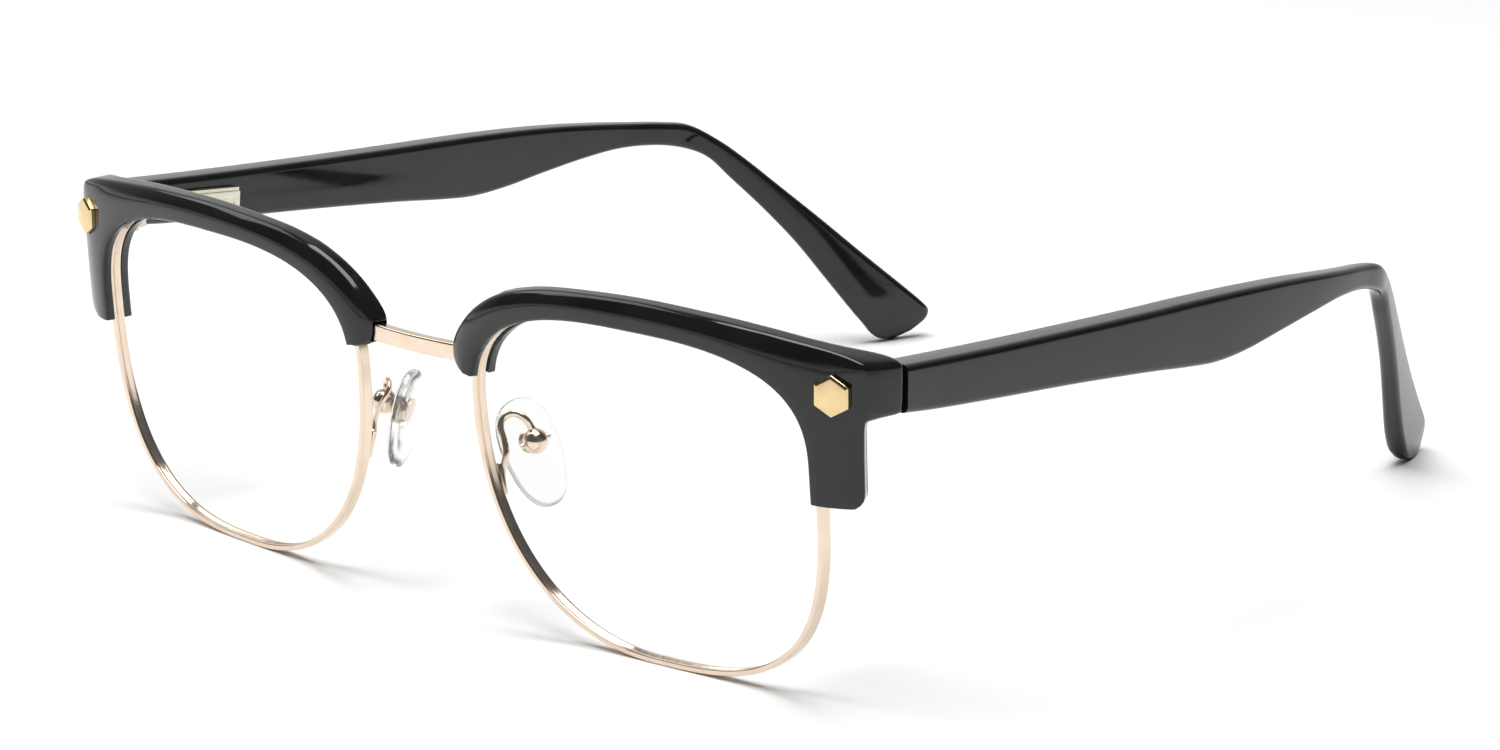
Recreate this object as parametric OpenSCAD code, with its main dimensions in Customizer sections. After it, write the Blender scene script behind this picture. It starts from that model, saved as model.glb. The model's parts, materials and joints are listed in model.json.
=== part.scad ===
// Half rim (browline) eyeglasses, standing open on a level surface.
// +X is the wearer's left, -Y is the front, +Z is up. Millimetres.
// The origin is on the surface, midway across and midway from front to back.

/* [Lenses] */
// Lens width across its widest part
lens_w = 52; // [46:0.5:56]
// Lens height
lens_h = 42.2; // [36:0.2:44]
// Lens thickness
lens_t = 1.3; // [1.1:0.1:1.3]
// Radius that the front is curved on
base_r = 187; // [150:1:260]

/* [Front] */
// Distance between the lenses
bridge_gap = 21; // [18:0.5:24]
// Wrap of the front: rise to the rear per mm outwards from a lens centre
wrap = 0.08; // [0.05:0.01:0.1]
// Pantoscopic tilt: rise to the rear per mm downwards
panto = 0.076; // [0.03:0.002:0.1]
// Radial thickness of the metal eyewire
wire_w = 0.75; // [0.75:0.05:0.9]
// Front-to-back depth of the metal eyewire
wire_d = 1.7; // [1.6:0.1:1.9]
// Thickness of the brow in front of the eyewire
brow_lip = 1.3; // [1.1:0.1:1.5]
// Thickness of the brow behind the eyewire
brow_back = 1.4; // [1.2:0.1:1.6]
// Height of the bridge bar
bridge_h = 2.2; // [1.8:0.1:2.6]
// Point-to-point height of the hexagonal studs
stud_h = 5; // [4:0.1:5.4]

/* [Temples] */
// Distance from the front plane to the joint between front and temple
butt_y = 10.5; // [10.2:0.1:10.8]
// Open gap at that joint
butt_gap = 0.35; // [0.3:0.05:0.5]
// Thickness of the temple near the hinge
temple_t = 4.5; // [4.2:0.1:4.8]
// Radius of the hinge knuckles
knuckle_r = 1.45; // [1.3:0.05:1.5]
// Radius of the hinge pin
pin_r = 0.6; // [0.5:0.05:0.7]

/* [Nose pads] */
// Height of a nose pad
pad_h = 14; // [12:0.1:14]
// Width of a nose pad
pad_w = 7.9; // [6:0.1:8]
// Thickness of a nose pad
pad_t = 2; // [1.8:0.1:2.4]

/* [Hidden] */
front_y = -71;                       // the front plane, ahead of the origin
lens_cx = (lens_w + bridge_gap) / 2 - 0.1;
a_nose = lens_w / 2 - 0.15;          // half widths and half heights of the lens shape
a_side = lens_w / 2 + 0.15;
b_top = lens_h * 0.332;
b_low = lens_h * 0.668;
n_top_nose = 2.59;                   // roundness of each quarter: 2 is an ellipse
n_top_side = 2.85;
n_low_nose = 2.21;
n_low_side = 3.04;
wire_in = -0.15;                     // the eyewire's inner and outer offsets
wire_out = wire_in + wire_w;
lens_cz = b_low + wire_out;          // the eyewires stand on the surface
groove = 0.3;
play = 0.06;

acetate = [0.035, 0.037, 0.04];
rose = [0.86, 0.72, 0.6];
gold = [0.8, 0.66, 0.4];
steel = [0.72, 0.7, 0.64];
clear = [0.9, 0.93, 0.94, 0.35];

// ---------------------------------------------------------------- helpers
function spow(v, e) = sign(v) * pow(abs(v), e);
function mix(a, b, k) = a + (b - a) * k;
function unit(v) = v / norm(v);

// lens outline about the lens centre, as [outwards, up]
function shape(t) =
    let (c = cos(t), s = sin(t),
         n = s > 0 ? (c > 0 ? n_top_side : n_top_nose) : (c > 0 ? n_low_side : n_low_nose))
    [(c > 0 ? a_side : a_nose) * spow(c, 2 / n), (s > 0 ? b_top : b_low) * spow(s, 2 / n)];
function shape_n(t) = let (d = unit(shape(t + 0.4) - shape(t - 0.4))) [d[1], -d[0]];
function edge(t, off) = shape(t) + off * shape_n(t);

// depth of the curved front under a point [outwards, up] from the lens centre
function dish(p) = wrap * p[0] + (p[0] * p[0] + p[1] * p[1]) / (2 * base_r) - panto * p[1];
function at_lens(p, y) = [lens_cx + p[0], front_y + y, lens_cz + p[1]];

// smooth curve through the rows of a table, k counts rows
function cat(a, b, c, d, f) =
    0.5 * (2 * b + (c - a) * f + (2 * a - 5 * b + 4 * c - d) * f * f
           + (3 * b - a - 3 * c + d) * f * f * f);
function row(tab, k) =
    let (m = len(tab) - 1, i = min(floor(k), m - 1), f = k - i)
    cat(tab[max(i - 1, 0)], tab[i], tab[i + 1], tab[min(i + 2, m)], f);

// solid through a list of rings with the same number of points
// cap gives the triangles of an end ring that isn't convex
module loft(rings, closed = false, cap = []) {
    n = len(rings[0]);
    m = len(rings);
    last = closed ? m - 1 : m - 2;
    walls = [for (i = [0:last], j = [0:n - 1], h = [0, 1])
        let (a = i * n + j, b = i * n + (j + 1) % n,
             c = ((i + 1) % m) * n + (j + 1) % n, d = ((i + 1) % m) * n + j)
        h == 0 ? [a, b, c] : [a, c, d]];
    one = [[for (j = [0:n - 1]) j]];
    ends = closed ? [] : len(cap) > 0 ? cap : one;
    caps = [for (f = ends, h = [0, 1])
        h == 0 ? [for (j = [len(f) - 1:-1:0]) f[j]] : [for (j = f) (m - 1) * n + j]];
    polyhedron([for (r = rings) each r], concat(walls, caps), convexity = 8);
}

// round bar along a path of points; side is a direction the path never takes
function tube(path, r, sides, side) =
    let (m = len(path) - 1)
    [for (i = [0:m])
        let (d = unit(path[min(i + 1, m)] - path[max(i - 1, 0)]),
             u = unit(cross(d, side)), v = cross(u, d))
        [for (j = [0:sides - 1]) path[i] + r * (cos(j * 360 / sides) * u
                                                + sin(j * 360 / sides) * v)]];
function smooth(points, steps) =
    [for (k = [0:steps]) row(points, k * (len(points) - 1) / steps)];

module mirrored(s) { if (s > 0) children(); else mirror([1, 0, 0]) children(); }

// ---------------------------------------------------------------- eyewires and lenses
wire_n = 84;
module eyewire(s) {
    mid = wire_d / 2;
    sec = [[wire_in, 0.1], [wire_in + 0.1, 0], [wire_out - 0.12, 0], [wire_out, 0.12],
           [wire_out, wire_d - 0.12], [wire_out - 0.12, wire_d], [wire_in + 0.1, wire_d],
           [wire_in, wire_d - 0.1], [wire_in, mid + 0.45],
           [wire_in + groove + play, mid], [wire_in, mid - 0.45]];
    mirrored(s) loft([for (i = [0:wire_n - 1]) let (t = i * 360 / wire_n)
        [for (q = sec) at_lens(edge(t, q[0]), dish(edge(t, 0)) + q[1])]], true);
}

module lens(s) {
    mid = wire_d / 2;
    in = wire_in - play;
    front = mid - lens_t / 2;
    rear = mid + lens_t / 2;
    // each row: offset from the outline (or a shrink factor) and depth
    mirrored(s) loft([for (q = [[0.03, front], [0.35, front], [0.7, front], [1, front + 0.2],
                                [2, mid], [1, rear - 0.2], [0.7, rear], [0.35, rear],
                                [0.03, rear]])
        [for (i = [0:wire_n - 1]) let (t = i * 360 / wire_n,
            p = q[0] == 2 ? edge(t, wire_in + groove - 0.04)
                          : q[0] * edge(t, in))
            at_lens(p, dish(p) + q[1])]]);
}

// ---------------------------------------------------------------- brows
// Rows from the nose tip over the lens to the foot of the leg. Each row: angle on the lens
// outline, the outer edge [x, z], the back outer edge [x, z], its depth behind the front
// face, the inner edge of the end piece [x, z], and how far it runs back (0 or 1).
brow_rows = [
    [170.6, 9.4, 32.2, 9.2, 32.3, 2.6, 9.8, 32.4, 0],
    [169.6, 8.2, 32.6, 7.9, 32.8, 3.1, 8.8, 32.8, 0],
    [168, 7.4, 33.4, 7.1, 33.6, 3.3, 8.2, 33.5, 0],
    [165.5, 7.1, 34.8, 6.8, 35, 3.3, 8, 34.7, 0],
    [161.5, 7.4, 36.4, 7.1, 36.6, 3.3, 8.2, 36, 0],
    [155, 8.9, 38.5, 8.7, 38.7, 3.2, 9.7, 37.8, 0],
    [145, 11.4, 40.8, 11.2, 41, 3, 12.1, 40.1, 0],
    [135, 14.6, 42.7, 14.5, 42.9, 2.9, 15.3, 42, 0],
    [125, 18.6, 44.1, 18.5, 44.3, 2.9, 19, 43.5, 0],
    [110, 25.1, 45.3, 25, 45.4, 2.9, 25.2, 44.6, 0],
    [90, 36.8, 46, 36.8, 46.1, 3, 36.8, 45.2, 0],
    [72, 47.8, 45.75, 47.8, 45.85, 3.1, 47.6, 44.9, 0],
    [58, 54.8, 45.2, 54.8, 45.35, 3.2, 54.4, 44.4, 0],
    [47, 60.4, 44.6, 60.2, 44.8, 3.2, 59.6, 43.8, 0],
    [39, 64.8, 44, 64.8, 44.1, 3.3, 63.4, 43.2, 0.15],
    [34, 67.6, 43.3, 68.7, 43.1, 3.4, 65.5, 42.7, 0.75],
    [30.5, 69, 42.6, 70.4, 42.3, 3.4, 66.2, 42.1, 1],
    [27, 69.4, 41.5, 70.7, 41.2, 3.4, 66.3, 41.3, 1],
    [21, 69.5, 39.3, 70.7, 39.2, 3.4, 66.3, 39.4, 1],
    [15.5, 69.5, 37.4, 70.6, 37.1, 3.4, 66.3, 37.4, 1],
    [13.6, 69.3, 36.7, 70.3, 36.4, 3.4, 66.3, 36.6, 0.96],
    [12.6, 69.2, 36.2, 69.2, 36, 3.1, 66.3, 36.1, 0.18],
    [11, 69, 35.4, 68.1, 35.3, 3, 66.3, 35.2, 0],
    [5, 68.9, 32.6, 67.9, 32.6, 3, 66.4, 32.6, 0],
    [0, 68.8, 28.7, 67.8, 28.7, 3, 66.4, 28.7, 0],
    [-1.4, 68.7, 26.8, 67.7, 26.8, 3, 66.4, 26.8, 0],
    [-2, 68.3, 25.9, 67.3, 25.9, 2.8, 66.2, 25.9, 0],
    [-2.3, 67.6, 25.3, 66.8, 25.3, 2.5, 65.8, 25.3, 0]];

// front face of the brow under a point [x, z]
function face_y(q) = let (u = q[0] - lens_cx)
    dish([u, q[1] - lens_cz]) - brow_lip + 0.006 * pow(max(0, q[0] - 60), 2);
function brow_ring(k) =
    let (r = row(brow_rows, k), t = r[0], e = max(0, r[8]),
         tip = min(1, 0.45 + 0.55 * min(k, len(brow_rows) - 1 - k)),
         c0 = [lens_cx, lens_cz],
         over = mix(0.1, 0.45, min(1, max(0, (t + 5) / 60))),
         lip = c0 + edge(t, -over), lip2 = c0 + edge(t, 0.25 - over),
         ch = c0 + edge(t, wire_out + play), root = c0 + edge(t, wire_out + 0.3),
         wy = dish(edge(t, 0)),
         q = [r[1], r[2]], b = [r[3], r[4]], g = [r[6], r[7]],
         back = wy + wire_d + brow_back, rear = face_y(q) + r[5],
         ye = mix(rear, butt_y, min(1, e)),
         in1 = mix(root, q, 0.5), in2 = mix(root, q, 0.86))
    [for (p = [
        [lip, max(face_y(lip), wy - brow_lip * tip) + 0.45], [lip2, face_y(lip2) + 0.12],
        [root, face_y(root)], [in1, face_y(in1) + 0.2], [in2, face_y(in2) + 0.62],
        [mix(in2, q, 0.75), face_y(mix(in2, q, 0.75)) + 0.8], [q, face_y(q) + 1.05],
        [mix(q, b, 0.6), mix(face_y(q) + 1.05, ye, 0.45)], [b, ye - 0.5],
        [mix(b, g, 0.15), ye], [mix(g, b, 0.12), ye],
        [g, mix(ye - 0.3, rear + 0.3, 0.15)], [mix(g, root, 0.1), mix(back, rear, 0.9)],
        [mix(root, g, 0.3), mix(back, rear, 0.15)], [lip2, back],
        [lip, back - 0.3], [lip, wy + wire_d + play], [ch, wy + wire_d + play],
        [ch, wy - play], [lip, wy - play]]) [p[0][0], front_y + p[1], p[0][1]]];

brow_n = 2 * (len(brow_rows) - 1);
brow_cap = concat([[19, 0, 1], [19, 1, 2], [19, 2, 18]], [for (j = [2:6]) [18, j, j + 1]],
                  [[17, 18, 7]], [for (j = [7:13]) [17, j, j + 1]],
                  [[16, 17, 14], [16, 14, 15]]);
module brow(s) {
    mirrored(s) difference() {
        loft([for (i = [0:brow_n]) brow_ring(i / 2)], false, brow_cap);
        // slot that the end of the bridge lies in
        translate([5, front_y - 0.75, bridge_z - bridge_h / 2 - 0.15])
            cube([5.95, 2.1, bridge_h + 0.3]);
        // pocket behind the leg for the closing block
        translate([63.25, front_y + 4.3, 26.9]) cube([3.4, 6, 4.9]);
        // hole for the stud's post
        stud_frame() rotate([-90, 0, 0])
            translate([0, 0, -1]) cylinder(h = 9, r = post_r + 0.02, $fn = 32);
    }
}

// ---------------------------------------------------------------- metal parts of the front
bridge_z = 34.3;
bridge_bow = 55;                     // radius the bridge bows forward on
bridge_d = 1.4;
stud_x = 66;
stud_z = 39;
post_r = 0.7;
stud_turn = atan(wrap + (stud_x - lens_cx) / base_r + 0.012 * (stud_x - 60));
module stud_frame() {
    translate([stud_x, front_y + face_y([stud_x, stud_z]), stud_z])
        rotate([0, 0, stud_turn]) children();
}

// the bar runs from one eyewire to the other, bowed forward in plan
module bridge_bar() {
    half = asin((lens_cx - a_nose + 0.1) / bridge_bow);
    translate([0, front_y - 0.35 + bridge_bow, bridge_z])
        rotate([0, 0, 270 - half]) rotate_extrude(angle = 2 * half, $fn = 180)
            translate([bridge_bow, 0]) polygon([for (c = [[1, 1], [-1, 1], [-1, -1], [1, -1]],
                k = [0:3]) let (a = atan2(c[1], c[0]) - 45 + k * 30)
                [c[0] * (bridge_d / 2 - 0.35) + 0.35 * cos(a),
                 c[1] * (bridge_h / 2 - 0.35) + 0.35 * sin(a)]]);
}

// hexagonal head with a bevel, and a post through the brow to the hinge plate
module stud(s) {
    r = stud_h / 2;
    mirrored(s) stud_frame() {
        rotate([90, 0, 0]) rotate([0, 0, 30]) {
            translate([0, 0, -0.35]) cylinder(h = 0.75, r = r, $fn = 6);
            translate([0, 0, 0.4]) cylinder(h = 0.3, r1 = r, r2 = r - 0.4, $fn = 6);
        }
        rotate([-90, 0, 0]) cylinder(h = post_len, r = post_r, $fn = 32);
    }
}

// closing block on the outside of the eyewire, in two halves held by a screw
lock_x = 64.55;
lock_y = 6.1;
module rim_lock(s) {
    mirrored(s) for (z = [27.3, 29.4]) difference() {
        translate([62.9 + wire_out - 0.35, front_y + 4.75, z]) cube([2.7, 2.5, 2]);
        translate([lock_x, front_y + lock_y, z - 1]) cylinder(h = 4, r = 0.45, $fn = 32);
    }
}
module lock_screw(s) {
    mirrored(s) translate([lock_x, front_y + lock_y, 27.05]) difference() {
        union() {
            cylinder(h = 4.3, r = 0.42, $fn = 32);
            cylinder(h = 0.25, r = 0.8, $fn = 32);
        }
        translate([-1, -0.12, -1]) cube([2, 0.24, 1.12]);
    }
}

// ---------------------------------------------------------------- hinges
pin_x = 64.9;                        // place of the hinge pin
pin_y = 10.2;
pin_z = 38.9;
plate_y = 7.95;                      // the hinge plate's front face, on the back of the brow
post_len = (plate_y + 0.4 - face_y([stud_x, stud_z])) / cos(stud_turn);
knuckle_h = 2;                       // height of the moving knuckle
ear_h = 1.25;                        // height of each fixed knuckle
arm_dip = 5;                         // the spring housing dips to the rear
arm_turn = 2.2;                      // and leans inwards

module at_pin() { translate([pin_x, front_y + pin_y, pin_z]) children(); }
module front_hinge(s) {
    low = pin_z - knuckle_h / 2 - 0.05 - ear_h;
    mirrored(s) difference() {
        union() {
            for (z = [low, pin_z + knuckle_h / 2 + 0.05]) {
                translate([pin_x, front_y + pin_y, z])
                    cylinder(h = ear_h, r = knuckle_r, $fn = 48);
                translate([pin_x - 0.3, front_y + plate_y + 0.6, z])
                    cube([1.65, pin_y - plate_y - 0.6, ear_h]);
            }
            translate([62.2, front_y + plate_y, low]) cube([4.05, 0.65, 2 * ear_h + 2.1]);
        }
        translate([pin_x, front_y + pin_y, low - 1])
            cylinder(h = 8, r = pin_r + 0.03, $fn = 32);
        stud_frame() rotate([-90, 0, 0]) cylinder(h = 12, r = post_r + 0.03, $fn = 32);
    }
}
module hinge_screw(s) {
    low = -knuckle_h / 2 - 0.05 - ear_h;
    mirrored(s) at_pin() difference() {
        union() {
            translate([0, 0, low]) cylinder(h = -2 * low, r = pin_r, $fn = 32);
            translate([0, 0, -low]) cylinder(h = 0.45, r = 1.05, $fn = 32);
        }
        translate([-2, -0.15, -low + 0.2]) cube([4, 0.3, 1]);
    }
}
module bush(s) {
    mirrored(s) at_pin() difference() {
        cylinder(h = knuckle_h - 0.04, r = pin_r + 0.33, center = true, $fn = 32);
        cylinder(h = 4, r = pin_r + 0.03, center = true, $fn = 32);
    }
}
module arm_frame() { at_pin() rotate([-arm_dip, 0, arm_turn]) children(); }
arm_x = 1.5;                         // the spring's axis, outwards from the pin
house_0 = 3.3;                       // the housing's ends, back from the pin
house_1 = 17.7;
house_h = 3;
module carriage(s) {
    mirrored(s) difference() {
        union() {
            at_pin() cylinder(h = knuckle_h, r = knuckle_r, center = true, $fn = 48);
            arm_frame() {
                translate([arm_x - 0.6, 1, -0.75]) cube([1.1, 4.4, 1.5]);
                translate([arm_x, 5.3, 0]) rotate([-90, 0, 0])
                    cylinder(h = 10.3, r = 0.5, $fn = 32);
                translate([arm_x, 14.7, 0]) rotate([-90, 0, 0])
                    cylinder(h = 0.9, r = 0.95, $fn = 32);
            }
        }
        at_pin() cylinder(h = 4, r = pin_r + 0.36, center = true, $fn = 32);
    }
}
module hinge_housing(s) {
    mirrored(s) arm_frame() difference() {
        translate([0, house_0, -house_h / 2]) cube([3, house_1 - house_0, house_h]);
        translate([arm_x - 0.7, house_0 - 1, -0.85]) cube([1.3, 3.3, 1.7]);
        translate([arm_x, 5, 0]) rotate([-90, 0, 0]) cylinder(h = 3, r = 0.56, $fn = 32);
        translate([arm_x, 6.3, 0]) rotate([-90, 0, 0]) cylinder(h = 10.3, r = 1.1, $fn = 32);
        // step along the top edge, and a short slot mark
        translate([-1, 0, house_h / 2 - 0.5]) cube([1.25, 30, 1]);
        translate([-1, house_1 - 2.2, -0.75]) cube([1.15, 1.4, 0.3]);
    }
}
module flex_spring(s) {
    turns = 6;
    mirrored(s) arm_frame() loft(tube([for (a = [0:45:turns * 360])
        [arm_x + 0.8 * cos(a), 6.5 + 6.6 * a / turns / 360, 0.8 * sin(a)]], 0.17, 6, [0, 1, 0]));
}

// ---------------------------------------------------------------- temples
// Rows from the hinge to the tip. Each row: upper edge [y, z], lower edge [y, z], outer x,
// thickness and the heading inwards.
temple_rows = [
    [butt_y + butt_gap, 41.95, butt_y + butt_gap, 36.15, 70.7, temple_t, 0],
    [16.9, 41.5, 17, 35.4, 70.4, temple_t, 2],
    [27.9, 40.8, 28, 34.4, 70, temple_t, 2],
    [42.9, 40, 43, 33.1, 69.4, temple_t - 0.1, 2],
    [56.9, 39.35, 57, 31.7, 68.9, temple_t - 0.2, 2],
    [65.9, 39, 65.3, 30.7, 68.5, temple_t - 0.3, 2],
    [73.4, 38.65, 71.3, 30.2, 68.2, temple_t - 0.45, 3],
    [80.9, 38.2, 77.5, 30.5, 67.8, temple_t - 0.65, 4],
    [88.4, 37.6, 84.5, 31.4, 67.2, temple_t - 0.9, 6],
    [95.5, 36.85, 92.3, 32.3, 66.4, temple_t - 1.2, 9],
    [101.5, 36.15, 99.3, 32.8, 65.3, temple_t - 1.5, 14],
    [107, 35.5, 105.9, 32.4, 63.9, temple_t - 1.75, 20],
    [111.5, 34.6, 111, 31.2, 62.7, temple_t - 1.95, 24],
    [115.6, 32.1, 114.2, 29.5, 61, temple_t - 2.05, 27],
    [119.3, 29, 117.2, 26.2, 59.2, temple_t - 2.1, 29],
    [124, 24.5, 121.3, 21.6, 56.8, temple_t - 2.1, 29],
    [129.4, 19.3, 125.6, 16.2, 54.1, temple_t - 2.1, 29],
    [135.2, 13.6, 129.4, 10.6, 51.5, temple_t - 2, 29],
    [140.8, 8.3, 132.9, 5.5, 49.2, temple_t - 1.8, 29],
    [143.9, 5.3, 135, 2.7, 48, temple_t - 1.8, 29],
    [144.8, 4, 135.9, 1.5, 47.6, temple_t - 2.1, 29],
    [144.4, 2.7, 137.2, 0.5, 47.4, temple_t - 2.5, 29],
    [142.7, 1.2, 139.1, 0, 47.4, temple_t - 3.3, 29]];

function temple_ring(k) =
    let (r = row(temple_rows, k), h = r[6], lean = 0.34 * tan(h) * (r[0] - r[2]),
         up = [r[4] - lean, r[0], r[1]], low = [r[4] + lean, r[2], r[3]],
         v = unit(up - low), tall = norm(up - low), w = r[5],
         inwards = [-cos(h), -sin(h), 0], mid = (up + low) / 2 + inwards * w / 2,
         rad = min(0.9, 0.47 * tall, 0.47 * w))
    [for (c = [[1, 1], [-1, 1], [-1, -1], [1, -1]], j = [0:3])
        let (a = atan2(c[1], c[0]) - 45 + j * 30,
             p = mid - inwards * (c[0] * (w / 2 - rad) + rad * cos(a))
                     + v * (c[1] * (tall / 2 - rad) + rad * sin(a)))
        [p[0], front_y + p[1], p[2]]];
temple_n = 2 * (len(temple_rows) - 1);
module temple(s) {
    mirrored(s) difference() {
        loft([for (i = [0:temple_n]) temple_ring(i / 2)]);
        // slot for the spring housing, open towards the hinge
        arm_frame() translate([-2, -2, -house_h / 2 - 0.05])
            cube([5.05, house_1 + 2.05, house_h + 0.1]);
    }
}
module core_wire(s) {
    path = [for (k = [2.6:0.4:19.4]) let (r = row(temple_rows, k), h = r[6])
        [(r[4] - r[5] / 2 * cos(h)), front_y + (r[0] + r[2]) / 2 - r[5] / 2 * sin(h),
         (r[1] + r[3]) / 2]];
    start = [pin_x - 0.9 + 2.4 - 0.04 * house_1, front_y + pin_y + house_1 + 0.1, 37.25];
    mirrored(s) loft(tube(concat([start], path), 0.4, 8, [1, 0, 0]));
}

// ---------------------------------------------------------------- nose pads
box_p = [13.5, 6.8, 22.9];           // place of the pad's pin
box_r = 1.6;
module pad_frame(s) {
    mirrored(s) translate([box_p[0], front_y + box_p[1], box_p[2]])
        rotate([8.5, -20, 0]) rotate([0, 0, -26]) children();
}
// foot on the back of the eyewire, then a wire that rises, arches and drops to the box
module pad_arm(s) {
    path = smooth([[11.75, 2.75, 18.2], [11.6, 3.1, 19.8], [11.7, 3.5, 21.6],
                   [11.2, 3.7, 23.1], [10.3, 4, 24.6], [10.3, 4.7, 25.75],
                   [11.4, 5.5, 26.2], [12.5, 6.1, 25.6], [13, 6.5, 24.7],
                   [13.4, 6.75, 23.9]], 22);
    mirrored(s) {
        translate([0, front_y, 0]) loft(tube(path, 0.38, 8, [0.6, -0.8, 0]));
        translate([11.78, front_y + 2.42, 18.6]) rotate([0, -16, 0])
            translate([-0.45, 0, -2]) cube([0.9, 0.6, 4]);
    }
}
module pad_box(s) {
    pad_frame(s) difference() {
        sphere(r = box_r, $fn = 48);
        translate([-3, -0.62, -1]) cube([3.8, 1.24, 2]);
        rotate([90, 0, 0]) cylinder(h = 6, r = 0.38, center = true, $fn = 32);
    }
}
module pad_pin(s) {
    pad_frame(s) rotate([90, 0, 0]) cylinder(h = 3.9, r = 0.37, center = true, $fn = 32);
}
pad_c = [-2.95, 0, -1.6];            // the pad's centre from its pin
module pad_mount(s) {
    pad_frame(s) {
        difference() {
            union() {
                rotate([90, 0, 0]) cylinder(h = 1.04, r = 0.68, center = true, $fn = 32);
                translate([-2.4, -0.52, -0.6]) cube([2.4, 1.04, 1.2]);
            }
            rotate([90, 0, 0]) cylinder(h = 3, r = 0.41, center = true, $fn = 32);
        }
        translate([-2.5, 0, 0]) rotate([0, 90, 0]) cylinder(h = 0.4, r = 1.5, $fn = 32);
    }
}
// outline of the pad, wider above than below
function pad_edge(a, in) = let (h = pad_h / 2 - in,
    w = (pad_w / 2 - in) * (1 + 0.12 * sin(a) - 0.05 * cos(2 * a)))
    [w * spow(cos(a), 0.92), h * spow(sin(a), 0.96)];
module nose_pad(s) {
    e = pad_t / 2;
    pad_frame(s) translate(pad_c) loft([for (q = [[2.4, -e], [0.7, -0.86 * e],
        [0.15, -0.5 * e], [0, 0], [0.15, 0.5 * e], [0.7, 0.86 * e], [2.4, e]])
        [for (a = [0:15:345]) let (p = pad_edge(a, q[0])) [q[1], p[0], p[1]]]]);
}

// ---------------------------------------------------------------- named sub-parts
module brow_left() { color(acetate) brow(1); }
module brow_right() { color(acetate) brow(-1); }
module eyewire_left() { color(rose) eyewire(1); }
module eyewire_right() { color(rose) eyewire(-1); }
module lens_left() { color(clear) lens(1); }
module lens_right() { color(clear) lens(-1); }
module bridge() { color(rose) bridge_bar(); }
module stud_left() { color(gold) stud(1); }
module stud_right() { color(gold) stud(-1); }
module rim_lock_left() { color(rose) rim_lock(1); }
module rim_lock_right() { color(rose) rim_lock(-1); }
module lock_screw_left() { color(steel) lock_screw(1); }
module lock_screw_right() { color(steel) lock_screw(-1); }
module front_hinge_left() { color(steel) front_hinge(1); }
module front_hinge_right() { color(steel) front_hinge(-1); }
module hinge_screw_left() { color(steel) hinge_screw(1); }
module hinge_screw_right() { color(steel) hinge_screw(-1); }
module bush_left() { color(steel) bush(1); }
module bush_right() { color(steel) bush(-1); }
module carriage_left() { color(steel) carriage(1); }
module carriage_right() { color(steel) carriage(-1); }
module hinge_housing_left() { color(steel) hinge_housing(1); }
module hinge_housing_right() { color(steel) hinge_housing(-1); }
module flex_spring_left() { color(steel) flex_spring(1); }
module flex_spring_right() { color(steel) flex_spring(-1); }
module temple_left() { color(acetate) temple(1); }
module temple_right() { color(acetate) temple(-1); }
module core_wire_left() { color(steel) core_wire(1); }
module core_wire_right() { color(steel) core_wire(-1); }
module pad_arm_left() { color(rose) pad_arm(1); }
module pad_arm_right() { color(rose) pad_arm(-1); }
module pad_box_left() { color(rose) pad_box(1); }
module pad_box_right() { color(rose) pad_box(-1); }
module pad_pin_left() { color(steel) pad_pin(1); }
module pad_pin_right() { color(steel) pad_pin(-1); }
module pad_mount_left() { color(rose) pad_mount(1); }
module pad_mount_right() { color(rose) pad_mount(-1); }
module nose_pad_left() { color(clear) nose_pad(1); }
module nose_pad_right() { color(clear) nose_pad(-1); }

brow_left();
brow_right();
eyewire_left();
eyewire_right();
lens_left();
lens_right();
bridge();
stud_left();
stud_right();
rim_lock_left();
rim_lock_right();
lock_screw_left();
lock_screw_right();
front_hinge_left();
front_hinge_right();
hinge_screw_left();
hinge_screw_right();
bush_left();
bush_right();
carriage_left();
carriage_right();
hinge_housing_left();
hinge_housing_right();
flex_spring_left();
flex_spring_right();
temple_left();
temple_right();
core_wire_left();
core_wire_right();
pad_arm_left();
pad_arm_right();
pad_box_left();
pad_box_right();
pad_pin_left();
pad_pin_right();
pad_mount_left();
pad_mount_right();
nose_pad_left();
nose_pad_right();
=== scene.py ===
"""Half rim (browline) eyeglasses: the looks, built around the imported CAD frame."""

import json
import math

import bmesh
import bpy
import numpy as np
from mathutils import Matrix, Vector

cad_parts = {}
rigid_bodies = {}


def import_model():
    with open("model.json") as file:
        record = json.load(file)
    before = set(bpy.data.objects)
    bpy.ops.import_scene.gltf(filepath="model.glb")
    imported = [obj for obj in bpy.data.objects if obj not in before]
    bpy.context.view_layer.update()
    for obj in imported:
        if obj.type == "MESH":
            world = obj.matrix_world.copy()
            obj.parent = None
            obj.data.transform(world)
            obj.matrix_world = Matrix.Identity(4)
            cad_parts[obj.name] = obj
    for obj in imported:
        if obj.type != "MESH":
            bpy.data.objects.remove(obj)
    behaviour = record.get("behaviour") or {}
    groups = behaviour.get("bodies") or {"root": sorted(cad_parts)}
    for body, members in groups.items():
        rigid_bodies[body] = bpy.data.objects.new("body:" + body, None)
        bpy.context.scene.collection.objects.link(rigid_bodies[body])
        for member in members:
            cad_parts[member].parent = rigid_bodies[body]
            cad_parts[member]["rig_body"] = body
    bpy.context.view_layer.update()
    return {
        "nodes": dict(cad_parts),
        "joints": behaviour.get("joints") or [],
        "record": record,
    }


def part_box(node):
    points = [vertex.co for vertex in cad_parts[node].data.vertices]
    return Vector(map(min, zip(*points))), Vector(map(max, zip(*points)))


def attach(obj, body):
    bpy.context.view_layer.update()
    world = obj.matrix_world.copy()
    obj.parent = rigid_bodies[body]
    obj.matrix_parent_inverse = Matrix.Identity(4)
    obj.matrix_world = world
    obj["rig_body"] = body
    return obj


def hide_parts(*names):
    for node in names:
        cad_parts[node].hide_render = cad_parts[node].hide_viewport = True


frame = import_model()
nodes = frame["nodes"]
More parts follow.
